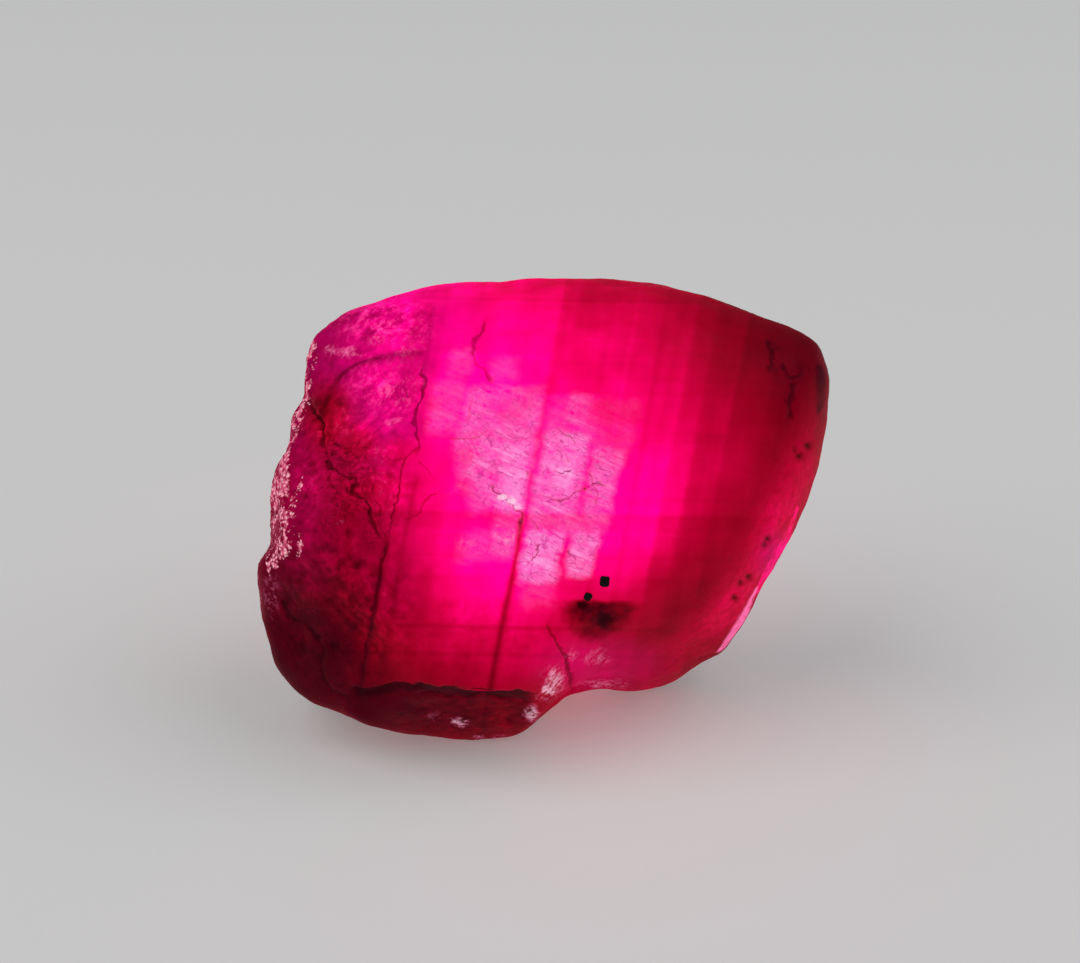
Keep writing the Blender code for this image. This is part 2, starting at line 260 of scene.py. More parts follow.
# The broken left edge: points along its crust, and its half width there.
CRUST = [(313, 346, 6), (310, 368, 7), (304, 392, 8), (299, 405, 8), (294, 420, 10), (291, 435, 9),
         (286, 450, 6), (282, 465, 10), (279, 482, 11), (278, 500, 11), (281, 520, 11), (282, 536, 11),
         (278, 549, 12), (272, 563, 9), (269, 572, 3)]
INNER_CRUST = [(301, 478, 2.5), (298, 492, 4), (290, 508, 7), (290, 520, 6), (296, 532, 5), (299, 546, 4),
               (296, 560, 2)]

# Crust on the broken left end begins at the first x and is full at the second, and in the
# same way it begins at one height above the ground and is full at another.
LEFT_END = (-11.5, -14.5)
CRUST_FOOT = (2, 5)
CRUST_MARGIN = 2.2  # the skin is finer out to this many half widths of the crust

# The thin facet along the lower right edge and the rim above it, both with painted light as if
# lit from beneath, and the dark slot in the upper right edge, written in the same way.
SLIVER = [(757, 588, 1.0), (750, 603, 2.5), (743, 618, 4), (735, 632, 4.5), (727, 643, 4), (719, 651, 1.5)]
RIM = [(798, 506, 1), (792, 524, 3), (785, 541, 5), (777, 554, 5), (770, 567, 5), (763, 580, 4.5),
       (757, 591, 3)]
SLOT = [(819, 366, 2.5), (821, 376, 5), (821, 396, 5), (819, 411, 3)]

# The bevel down the right side, painted lit from beneath: points along it, its width, and its
# least and added painted light.  It brightens over the first two rows and dims over the last two.
BEVEL = [(824, 400), (805, 460), (785, 510), (762, 560), (730, 610), (695, 650), (655, 680)]
BEVEL_WIDTH = 24
BEVEL_LIGHT = (0.10, 0.27)
BEVEL_ROWS = ((400, 520), (615, 665))

# The rough upper left of the face, and the crack net in it: centre, half size, strength.
MOTTLED = [(350, 400, 90, 80, 0.55), (345, 490, 70, 90, 0.95), (330, 425, 36, 46, 0.9),
           (335, 610, 85, 95, 1.0), (300, 470, 40, 140, 0.5), (375, 320, 65, 30, 0.7),
           (470, 716, 95, 26, 0.8), (470, 640, 100, 55, 0.2)]
NET = [(318, 408, 18, 16, 0.9), (342, 455, 26, 24, 1.0), (350, 495, 34, 36, 1.0), (330, 520, 20, 22, 0.6),
       (372, 530, 16, 30, 0.7), (360, 470, 26, 20, 0.8), (310, 616, 24, 18, 1.0), (290, 598, 14, 12, 1.0),
       (400, 360, 22, 8, 0.4), (790, 372, 22, 14, 0.5), (775, 345, 10, 22, 0.5), (395, 690, 60, 8, 0.6),
       (338, 648, 26, 22, 0.9)]

# Where the ruby is more magenta: centre, half size, strength.
TINTED = [(600, 664, 75, 32, 0.45), (272, 570, 30, 50, 0.5), (385, 550, 60, 80, 0.18),
          (440, 350, 60, 80, 0.9), (480, 400, 60, 60, 0.8), (776, 560, 22, 30, 0.5)]
# It is also more magenta at the upper left: the columns and the rows, each from where the
# tint begins to where it is full, and its strength.
TINTED_CORNERS = [((480, 390), (500, 420), 1.0), ((370, 290), (640, 540), 0.6)]
# Where it is redder: centre, half size, strength.
REDDER = [(328, 420, 32, 46, 1.0), (354, 442, 28, 26, 0.9), (402, 452, 28, 16, 0.7)]

# The dark inclusion under the grains: centre, half size, strength.  Its top edge is level.
SMUDGE = [(603, 619, 15, 13, 1.0), (584, 604, 10, 9, 1.0), (597, 613, 38, 24, 0.74),
          (590, 628, 22, 16, 0.50), (621, 607, 20, 10, 0.52)]
SMUDGE_TOP = 599

# The black grains: place and radius.  Each starts as a rounded cube with a half side of 1.
GRAINS = {"mineral_grain_upper": (604.5, 581.5, 5.4), "mineral_grain_lower": (587.8, 596.5, 4.2)}
ROUNDING = 0.74
ROUNDED_CUBE = 1.04  # about how far the rounded cube reaches
UNEVENNESS = 0.16
GRAIN_SHAPE = (1.0, 0.94, 0.6)  # half sizes along the face and out of it, per radius


def smoothstep(low, high, values):
    """0 at low, 1 at high and smooth between, whichever of them is the larger."""
    share = np.clip((values - low) / (high - low), 0, 1)
    return share * share * (3 - 2 * share)


def ripple(points, size, salt=0.0):
    """Smooth noise between -1 and 1, with lumps of this size."""
    offset = Vector((salt, salt * 1.7, -salt * 0.6))
    return np.array([noise.noise(Vector(point) / size + offset) for point in points])


def cells(points, size, salt=0.0):
    """How far each point is from the nearest of some scattered seeds, in cell sizes."""
    offset = Vector((salt, salt * 0.9, -salt))
    return np.array([noise.voronoi(Vector(point) / size + offset)[0][0] for point in points])


# ---------------------------------------------------------------- places in the picture

def seen_at(points):
    """Where points are in the picture, in pixels."""
    away = points - VIEWPOINT
    depth = away @ AHEAD
    x = PICTURE[0] / 2 + FOCAL_PX * (away @ RIGHT) / depth
    y = PICTURE[1] / 2 - FOCAL_PX * (away @ UP) / depth
    return np.stack([x, y], axis=1)


def beside_line(places, line):
    """How far each place is to the side of a line of points, and how far along it is."""
    line = np.array(line, float)
    lengths = np.linalg.norm(np.diff(line[:, :2], axis=0), axis=1)
    gaps = np.full(len(places), 1e9)
    along = np.zeros(len(places))
    done = 0.0
    for start, end, length in zip(line[:-1, :2], line[1:, :2], lengths):
        step = (end - start) / length
        offset = places - start
        reach = np.clip(offset @ step, 0, length)
        gap = np.linalg.norm(offset - reach[:, None] * step, axis=1)
        side = np.where(step[0] * offset[:, 1] - step[1] * offset[:, 0] < 0, -1, 1)
        nearer = gap < np.abs(gaps)
        gaps[nearer] = (side * gap)[nearer]
        along[nearer] = (done + reach)[nearer]
        done += length
    return gaps, along / done


def band_along(places, line):
    """1 on a line whose points also give its half width, falling to 0 beyond it."""
    gaps, along = beside_line(places, line)
    line = np.array(line, float)
    steps = np.concatenate([[0], np.cumsum(np.linalg.norm(np.diff(line[:, :2], axis=0), axis=1))])
    width = np.interp(along, steps / steps[-1], line[:, 2])
    return smoothstep(1.3, 0.5, np.abs(gaps) / width)


def blots(places, spots):
    """The strongest of some ovals, each full at its middle and 0 beyond its rim."""
    total = np.zeros(len(places))
    for x, y, half_width, half_height, strength in spots:
        reach = np.hypot((places[:, 0] - x) / half_width, (places[:, 1] - y) / half_height)
        total = np.maximum(total, strength * smoothstep(1.25, 0.3, reach))
    return total


def glows(places, spots):
    """The sum of some soft ovals of light, each full at its middle."""
    x, y = places.T
    total = np.zeros(len(places))
    for centre_x, centre_y, half_width, half_height, strength in spots:
        across, down = (x - centre_x) / half_width, (y - centre_y) / half_height
        total += strength * np.exp(-across ** 2 - down ** 2)
    return total


def between(low, high, edge, values):
    """1 between low and high, falling to 0 across this width of edge."""
    rise = smoothstep(low - edge / 2, low + edge / 2, values)
    return rise * smoothstep(high + edge / 2, high - edge / 2, values)


def block(s, t, sides, edge):
    """1 inside a block of the stone, falling to 0 across this width of edge."""
    across, down = sides
    return between(*across, edge, s) * between(*down, edge, t)


def band_numbers(places):
    """How far each place is across the near-upright bands, and down the near-level ones."""
    s = places[:, 0] + UPRIGHT_SLOPE * (places[:, 1] - UPRIGHT_ORIGIN)
    t = places[:, 1] - LEVEL_SLOPE * (places[:, 0] - LEVEL_ORIGIN)
    return s, t


def light_at(places):
    """How bright the painted glow in the stone is at each place, before the bands."""
    s, t = band_numbers(places)
    light = DIM_LIGHT + glows(places, POOLS)
    for *sides, share, edge in PANES:
        light *= 1 + (share - 1) * block(s, t, sides, edge)
    for line, strength in SEAMS:
        gaps, along = beside_line(places, line)
        light *= 1 - strength * smoothstep(0, 0.05, along) * np.exp(-(gaps / SEAM_WIDTH) ** 2)
    return light * (1 - glows(places, CORNER_SHADE))


# ---------------------------------------------------------------- the skin

def cast_grid(solid):
    """A closed grid of squares cast onto the solid from its middle, in mm."""
    shape = bmesh.new()
    bmesh.ops.create_cube(shape, size=2)
    bmesh.ops.subdivide_edges(shape, edges=shape.edges[:], cuts=SKIN_CUTS - 1, use_grid_fill=True)
    tree = BVHTree.FromPolygons([vertex.co / MM for vertex in solid.data.vertices],
                                [face.vertices[:] for face in solid.data.polygons])
    middle = Vector(MIDDLE)
    shift = Vector(TOWARDS_FACE * AHEAD)
    for vertex in shape.verts:
        direction = Vector([math.tan(value * math.pi / 4) for value in vertex.co]).normalized() - shift
        vertex.co = tree.ray_cast(middle, direction.normalized())[0]
    return shape


def smooth(shape, rounds):
    """Evens out the skin and leaves its flat base at the ground."""
    points = np.array([tuple(vertex.co) for vertex in shape.verts])
    ends = np.array([[vertex.index for vertex in edge.verts] for edge in shape.edges])
    ends = np.concatenate([ends, ends[:, ::-1]])
    count = np.bincount(ends[:, 0], minlength=len(points))
    grounded = points[:, 2] < GROUNDED
    for _ in range(rounds):
        total = [np.bincount(ends[:, 0], points[ends[:, 1], axis], len(points)) for axis in range(3)]
        points += 0.5 * (np.stack(total, axis=1) / count[:, None] - points)
        points[grounded, 2] = 0
    for vertex, point in zip(shape.verts, points):
        vertex.co = point


def refine(shape):
    """Halves the squares near cracks, seams, the ledge, crust and fractures."""
    points = np.array([tuple(vertex.co) for vertex in shape.verts])
    places = seen_at(points)
    near = np.zeros(len(points), bool)
    front = points @ AHEAD < MIDDLE @ AHEAD + NEAR_HALF
    near_lines = [line for cracks in [*CRACKS, SEAMS, [(LEDGE,)]] for line, *_ in cracks]
    far_lines = [line for line, *_ in FAR_CRACKS]
    for lines, side in ((near_lines, front), (far_lines, ~front)):
        for line in lines:
            near |= (np.abs(beside_line(places, line)[0]) < FINE_WITHIN * PX_PER_MM) & side
    wide_crust = [(x, y, CRUST_MARGIN * width) for x, y, width in CRUST]
    near |= (band_along(places, wide_crust) > 0) & (points[:, 2] > CRUST_FOOT[0])
    near |= (blots(places, FRACTURES) > 0.3) & front
    chosen = dict.fromkeys(edge for face in shape.faces if any(near[vertex.index] for vertex in face.verts)
                           for edge in face.edges)
    bmesh.ops.subdivide_edges(shape, edges=list(chosen), cuts=1, use_grid_fill=True)
    shape.verts.index_update()


def crack_fields(wandering, sides, sets):
    """How deep the grooves are at each point, and for each set of cracks how far the point is
    beside the nearest one, how dark that is, and how wide."""
    fields = []
    groove = np.zeros(len(wandering))
    for cracks, side in zip(sets, sides):
        beside = np.full(len(wandering), 9.0)  # far from any crack
        dark = np.zeros(len(wandering))
        width = np.full(len(wandering), 0.1)
        for line, half_width, depth, strength in cracks:
            gaps, along = beside_line(wandering, line)
            gaps /= PX_PER_MM
            taper = smoothstep(-0.02, 0.10, along) * smoothstep(1.02, 0.88, along)
            nearer = np.abs(gaps) < np.abs(beside)
            beside[nearer] = gaps[nearer]
            dark[nearer] = (strength * taper * side * smoothstep(0.7, 0.4, np.abs(gaps)))[nearer]
            width[nearer] = half_width
            spread = half_width + CRACK_LIP
            groove = np.maximum(groove, depth * taper * side * np.exp(-(gaps / spread) ** 2))
        fields.append(np.stack([np.clip(beside, -BESIDE_REACH, BESIDE_REACH), dark, width], axis=1))
    return groove, fields


def pits_at(places):
    """1 in the middle of each pit, falling to 0 round it."""
    pit = np.zeros(len(places))
    for x, y, half_width in PITS:
        reach = ((places[:, 0] - x) / half_width) ** 2 + ((places[:, 1] - y) / half_width) ** 2
        pit = np.maximum(pit, np.exp(-reach))
    return pit


def ledge_at(places):
    """How far the foot of the face is broken back, of the full depth, and how shaded it is."""
    below, along = beside_line(places, LEDGE)
    under = smoothstep(0, 0.06, along) * smoothstep(1, 0.9, along)
    step = under * smoothstep(-2, 3, below) * smoothstep(40, 12, below)
    by_the_lip = 0.85 * under * smoothstep(-1.5, 2, below) * smoothstep(20, 7, below)
    by_the_foot = 0.5 * under * smoothstep(-1, 2, below) * smoothstep(60, 25, below)
    return step, np.maximum(by_the_lip, by_the_foot)


def end_crust(points, normals, facing, slow, middling):
    """Patches of crust on the broken left end, where it turns away from the viewpoint."""
    leftward = smoothstep(0.35, 0.75, -normals @ RIGHT) * smoothstep(*LEFT_END, points[:, 0])
    leftward *= smoothstep(0.25, -0.1, facing) * smoothstep(*CRUST_FOOT, points[:, 2])
    patches = smoothstep(0.0, 0.7, middling * 0.8 + ripple(points, 2.4, 21) + 0.25)
    return leftward * patches * (0.65 + 0.35 * slow)


def edge_crust(places, slow, middling):
    """The crust along the left edge of the face."""
    edge = np.maximum(band_along(places, CRUST), 0.8 * band_along(places, INNER_CRUST))
    return edge * smoothstep(-0.75, 0.1, middling + 0.5 * slow)


def frost_at(places, blocks):
    """How frosted the stone is, by the strongest of some blocks."""
    s, t = places
    frost = np.zeros(len(s))
    for *sides, strength, edge in blocks:
        frost = np.maximum(frost, strength * block(s, t, sides, edge))
    return frost


def painted_bevel_light(places):
    """The painted light on the bevel down the right side, with the painted light of its bright rim."""
    rising, falling = BEVEL_ROWS
    least, added = BEVEL_LIGHT
    bevel = np.exp(-(beside_line(places, BEVEL)[0] / BEVEL_WIDTH) ** 2)
    bevel *= least + added * smoothstep(*rising, places[:, 1])
    bevel *= 1 - 0.7 * smoothstep(*falling, places[:, 1])
    return np.maximum(bevel, 0.55 * band_along(places, RIM))


def tint_at(places, frost):
    """How much more magenta the ruby is than its light alone makes it."""
    x, y = places.T
    tints = [blots(places, TINTED), 1.6 * frost]
    for columns, rows, strength in TINTED_CORNERS:
        tints.append(strength * smoothstep(*columns, x) * smoothstep(*rows, y))
    return np.max(tints, axis=0) * (1 - blots(places, REDDER))


def carve(points, normals):
    """The carved points, and what the material needs to know at each of them."""
    places = seen_at(points)
    to_view = VIEWPOINT - points
    to_view /= np.linalg.norm(to_view, axis=1, keepdims=True)
    facing = np.sum(normals * to_view, axis=1)
    front = smoothstep(-0.05, 0.2, facing)
    back = smoothstep(0.0, -0.3, facing)
    glancing = smoothstep(-0.24, 0.05, facing)
    wander = np.stack([ripple(points, 1.1), ripple(points, 1.1, 40)], axis=1)
    wander += 0.5 * np.stack([ripple(points, 0.45, 9), ripple(points, 0.45, 77)], axis=1)
    wandering = places + LINE_WANDER * wander
    bands = np.array(band_numbers(places))
    slow = ripple(points, 2.0, 3)
    middling = ripple(points, 0.8, 5)

    # the grain of the stone, coarser on the rough parts and round the edges
    mottled = np.maximum(blots(places, MOTTLED) * front, 0.5 * smoothstep(0.45, -0.1, facing))
    height = SWELL * slow + (LUMPS[0] + LUMPS[1] * mottled) * middling
    height += (GRAIN[0] + GRAIN[1] * mottled) * ripple(points, 0.35, 8)

    # what is cut in: cracks, pits and the ledge
    sides = [front, front, front, back]
    groove, (first, second, third, far) = crack_fields(wandering, sides, [*CRACKS, FAR_CRACKS])
    first = np.where(back[:, None] > 0, far, first)
    pit = pits_at(places) * front
    step, shade = ledge_at(wandering)
    height -= groove + PIT_DEPTH * pit + LEDGE_DEPTH * step * front

    # what is rough: crust and fractures
    crust = np.maximum(end_crust(points, normals, facing, slow, middling),
                       edge_crust(wandering, slow, middling) * front)
    height += crust * CRUST_GRANULES * (0.55 - cells(points, 0.5, 5))
    height += crust * CRUST_LUMPS * ripple(points, 1.2, 60)
    fracture = blots(wandering, FRACTURES) * front
    height += fracture * FRACTURE_GRANULES * (0.45 - cells(points, 0.6, 12))

    # what shows in the stone, and its painted glow with painted light and shade
    near_frost = frost_at(bands + FROST_WANDER * wander.T, FROST) * (1 - blots(wandering, THAWED))
    far_frost = frost_at(bands + FAR_WANDER * wander.T, FAR_FROST) * smoothstep(-0.6, 0.5, slow + middling)
    frost = np.maximum(near_frost * front, far_frost * back)
    smudge = blots(places + SMUDGE_WANDER * wander, SMUDGE) * np.maximum(front, 0.3)
    smudge *= smoothstep(SMUDGE_TOP - 3, SMUDGE_TOP + 4, bands[1] + 2 * wander[:, 0])
    # painted light on the right bevel, its rim and the thin facet below it, as if lit from beneath
    bevel = painted_bevel_light(places) * glancing * (1 - 0.9 * pit)
    painted_sliver_light = band_along(places, SLIVER) * smoothstep(0.04, 0.14, facing)
    # the painted glow, with painted rim light where the stone turns away, painted shade under the ledge and
    # on the far side, and darker in the pits and the slot
    light = light_at(places) + RIM_LIGHT * smoothstep(0.45, 0.15, facing)
    light *= (1 - shade * front) * (1 - 0.85 * pit) * (1 - FAR_DIMMING * back)
    light *= 1 - 0.75 * band_along(places, SLOT) * glancing

    grounded = smoothstep(0.0, BASE_FADE, points[:, 2])
    carved = points + normals * (height * grounded)[:, None]
    carved[:, 2] = np.where(points[:, 2] < GROUNDED / 2, 0, np.maximum(carved[:, 2], 0))
    fields = {
        "cracks_1": first,
        "cracks_2": second,
        "cracks_3": third,
        # the bevel's number is its painted light
        "bands": np.stack([*bands, bevel], axis=1),
        "light": np.stack([light, smudge, tint_at(places, frost)], axis=1),
        "broken": np.stack([frost, fracture, crust], axis=1),
        # the last number is the painted light on the thin facet
        "rough": np.stack([mottled, blots(places, NET) * front, painted_sliver_light], axis=1),
    }
    return carved, fields


def make_skin(solid):
    """The dressed stone, with what the material needs stored at its points."""
    shape = cast_grid(solid)
    smooth(shape, FIRST_SMOOTHING)
    refine(shape)
    smooth(shape, LAST_SMOOTHING)
    shape.normal_update()
    points = np.array([tuple(vertex.co) for vertex in shape.verts])
    normals = np.array([tuple(vertex.normal) for vertex in shape.verts])
    points, fields = carve(points, normals)
    for vertex, point in zip(shape.verts, points * MM):
        vertex.co = point
    mesh = bpy.data.meshes.new("ruby_skin")
    shape.to_mesh(mesh)
    shape.free()
    for name, values in fields.items():
        attribute = mesh.attributes.new(name, "FLOAT_VECTOR", "POINT")
        attribute.data.foreach_set("vector", values.astype(np.float32).ravel())
    mesh.shade_smooth()
    skin = bpy.data.objects.new("ruby_skin", mesh)
    bpy.context.collection.objects.link(skin)
    return skin


# ---------------------------------------------------------------- grains

def on_the_face(skin, x, y):
    """The point of the skin at a pixel of the picture, in mm, and the way it faces."""
    ray = AHEAD + RIGHT * (x - PICTURE[0] / 2) / FOCAL_PX - UP * (y - PICTURE[1] / 2) / FOCAL_PX
    _, place, normal, _ = skin.ray_cast(Vector(VIEWPOINT * MM), Vector(ray))
    return place / MM, normal


def make_grain(skin, name, x, y, radius_px):
    """A stubby black crystal, sunk by half into the face."""
    place, normal = on_the_face(skin, x, y)
    radius = radius_px / PX_PER_MM / ROUNDED_CUBE
    shape = bmesh.new()
    bmesh.ops.create_cube(shape, size=2)
    bmesh.ops.bevel(shape, geom=shape.edges[:], offset=ROUNDING, segments=4, affect="EDGES", profile=0.55)
    for vertex in shape.verts:
        vertex.co *= 1 + UNEVENNESS * noise.noise(vertex.co * 1.3 + Vector((x, y, 0)))
    turn = normal.to_track_quat("Z", "Y").to_matrix().to_4x4()
    spin = Matrix.Rotation(math.radians(15 + x), 4, "Z")
    size = Matrix.Diagonal([*(radius * share for share in GRAIN_SHAPE), 1])
    seated = Matrix.Translation(place * MM) @ turn @ spin @ size @ Matrix.Scale(MM, 4)
    bmesh.ops.transform(shape, matrix=seated, verts=shape.verts[:])
    mesh = bpy.data.meshes.new(name)
    shape.to_mesh(mesh)
    shape.free()
    grain = bpy.data.objects.new(name, mesh)
    bpy.context.collection.objects.link(grain)
    return grain


# ---------------------------------------------------------------- materials

class Nodes:
    """A short way to write a material's nodes: most calls add nodes and return the output."""

    def __init__(self, name):
        self.material = bpy.data.materials.new(name)
        self.material.use_nodes = True
        self.tree = self.material.node_tree
        self.shader = self.tree.nodes["Principled BSDF"]
        self.out = self.tree.nodes["Material Output"]

    def put(self, value, socket):
        if isinstance(value, bpy.types.NodeSocket):
            self.tree.links.new(value, socket)
        else:
            socket.default_value = value

    def shade(self, **inputs):
        """Sets the shader's inputs, with an underscore for each space in their names."""
        for name, value in inputs.items():
            self.put(value, self.shader.inputs[name.replace("_", " ")])

    def add(self, kind, inputs=(), **settings):
        node = self.tree.nodes.new(kind)
        for key, value in settings.items():
            setattr(node, key, value)
        for key, value in dict(inputs).items():
            self.put(value, node.inputs[key])
        return node

    def fold(self, operation, values):
        """Some values joined by one operation, from the first to the last."""
        total, *rest = values
        for value in rest:
            total = self.add("ShaderNodeMath", {0: total, 1: value}, operation=operation).outputs[0]
        return total

    def sum(self, *values):
        return self.fold("ADD", values)

    def less(self, *values):
        return self.fold("SUBTRACT", values)

    def times(self, *values):
        return self.fold("MULTIPLY", values)

    def over(self, *values):
        return self.fold("DIVIDE", values)

    def most(self, *values):
        return self.fold("MAXIMUM", values)

    def absolute(self, value):
        return self.add("ShaderNodeMath", {0: value}, operation="ABSOLUTE").outputs[0]

    def without(self, value, share=1.0):
        """1 - share x value."""
        return self.less(1.0, self.times(value, share))

    def span(self, value, low, high, to_low=0.0, to_high=1.0, kind="LINEAR"):
        """The value carried from low and high to to_low and to_high, and no further."""
        inputs = {0: value, 1: low, 2: high, 3: to_low, 4: to_high}
        return self.add("ShaderNodeMapRange", inputs, interpolation_type=kind).outputs[0]

    def vein(self, value, level, width):
        """A thin line wherever a noise crosses this level."""
        return self.span(self.absolute(self.less(value, level)), 0.0, width, 1.0, 0.0)

    def field(self, name):
        """The three numbers stored at each point of the mesh under this name."""
        vector = self.add("ShaderNodeAttribute", attribute_name=name).outputs["Vector"]
        return self.add("ShaderNodeSeparateXYZ", {0: vector}).outputs[:]

    def noise(self, place, scale, detail=2.0):
        return self.add("ShaderNodeTexNoise", {"Vector": place, "Scale": scale, "Detail": detail})

    def streaks(self, value, scale, salt):
        """Noise that depends on one number alone."""
        inputs = {"W": self.sum(value, salt), "Scale": scale, "Detail": 2.0}
        return self.add("ShaderNodeTexNoise", inputs, noise_dimensions="1D").outputs[0]

    def ramp(self, value, stops):
        node = self.add("ShaderNodeValToRGB", {0: value})
        elements = node.color_ramp.elements
        while len(elements) < len(stops):
            elements.new(1)
        for element, (place, colour) in zip(elements, stops):
            element.position = place
            element.color = (*colour, 1) if isinstance(colour, tuple) else (colour, colour, colour, 1)
        return node.outputs["Color"]

    def mix(self, share, first, second, blend="MIX"):
        node = self.add("ShaderNodeMix", data_type="RGBA", blend_type=blend)
        for index, value in ((0, share), (6, first), (7, second)):
            self.put((*value, 1) if isinstance(value, tuple) else value, node.inputs[index])
        return node.outputs[2]


def srgb(*channels):
    """A colour given as a screen shows it, 0 to 255, as linear light."""
    return tuple((c / 255 / 12.92) if c <= 10 else ((c / 255 + 0.055) / 1.055) ** 2.4 for c in channels)


# The ruby's colour by how bright its painted glow is, and its paler colours.
RUBY = [(0.0, srgb(22, 0, 4)), (0.1, srgb(70, 0, 12)), (0.2, srgb(105, 0, 18)), (0.3, srgb(140, 0, 28)),
        (0.4, srgb(165, 0, 41)), (0.5, srgb(190, 0, 54)), (0.6, srgb(214, 0, 70)),
        (0.7, srgb(240, 0, 94)), (0.8, srgb(254, 0, 116)), (0.9, srgb(254, 0, 135)),
        (1.0, srgb(254, 0, 152))]
MAGENTA = (0.0, 0.0, 0.10)  # what a tint adds
FROSTED = srgb(252, 160, 222)
FLECKED = srgb(255, 135, 190)
FLARE = srgb(255, 205, 232)
HAIRLINE = srgb(158, 22, 112)
CRUSTED = srgb(244, 186, 196)
CRUST_SHADE = srgb(205, 88, 122)
# painted light on the thin facet along the lower right edge
EDGE_LIGHT = srgb(255, 110, 172)
BAND_STOPS = [(UPRIGHT_BANDS, LOWEST_S, HIGHEST_S), (LEVEL_BANDS, LOWEST_T, HIGHEST_T)]

# How many lumps each noise has in a metre, and how far it moves the granules' seeds, in metres.
WARP_SCALE = 900.0
CLOUD_SCALE = 420.0
FINE_SCALE = 2100.0
GRANULE_SCALE = 4200.0
GRANULE_SHIFT = 0.0004
GRANULE_EDGE = 0.42  # a granule is pale within this many cell sizes of its seed

# how strong the ruby's painted glow is, as if a lamp shone up through it
GLOW = 0.8
MATT_SHARE = (0.5, 0.5, 0.5)  # the base colour is this share of the glow's
CORUNDUM_IOR = 1.77
SHINE_TINT = (1.0, 0.06, 0.22, 1)
TRANSMISSION = 0.15  # more of it lays a pale haze over the dark parts
BUMP_HEIGHT = 0.00010  # in metres
LET_BY = (0.9, 0.01, 0.12, 1)  # the colour that passes through the stone
ABSORPTION = 300.0  # per metre, of the rest


